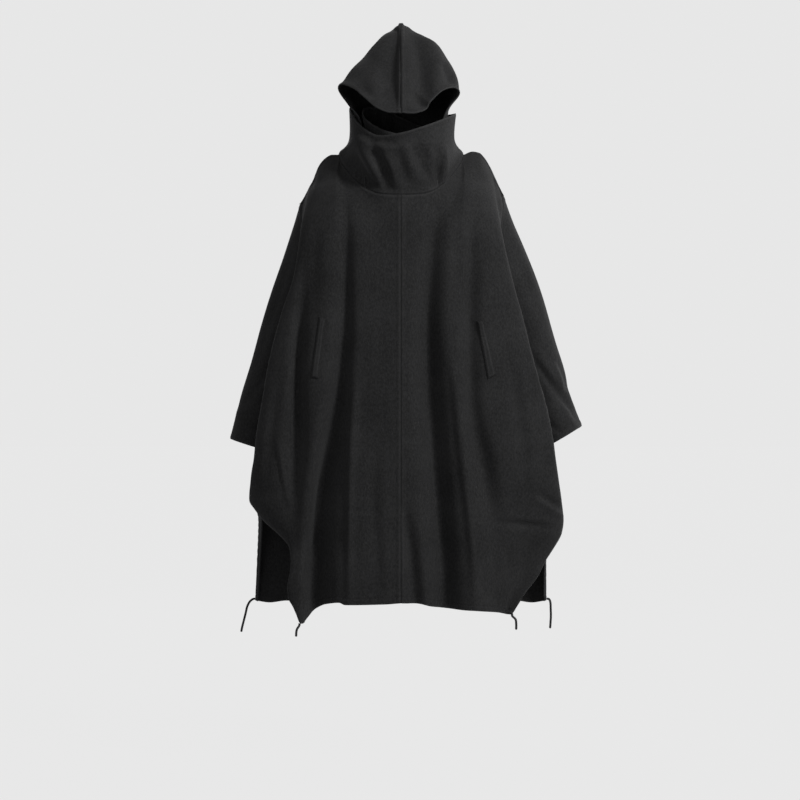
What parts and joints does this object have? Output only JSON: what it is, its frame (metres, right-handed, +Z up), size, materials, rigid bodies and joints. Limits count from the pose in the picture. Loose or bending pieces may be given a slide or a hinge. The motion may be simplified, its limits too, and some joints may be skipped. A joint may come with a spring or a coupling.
{
  "type": "hooded wool cape coat",
  "caption": "Oversized hooded wool cape coat, worn and hanging open at the hem: wide cocoon body, straight sleeves, stand collar under a peaked hood, welt pockets, drawcords at the hem.",
  "frame": {"origin": "middle of the base of the neck, at the height of the shoulders", "axes": "+X to the wearer's left, front towards -Y, +Z up towards the hood"},
  "size_m": [0.881, 0.335, 1.5344],
  "materials": {
    "wool": "matte felted nap",
    "cord": "matte braid"
  },
  "bodies": {
    "root": {"front_right": "wool", "front_left": "wool", "back": "wool", "sleeve_right": "wool", "sleeve_left": "wool", "hood_right": "wool", "hood_left": "wool", "collar_outer": "wool", "collar_inner": "wool", "welt_right": "wool", "welt_left": "wool", "drawcord_front_right": "cord", "drawcord_front_left": "cord", "drawcord_back_right": "cord", "drawcord_back_left": "cord"}
  },
  "joints": []
}
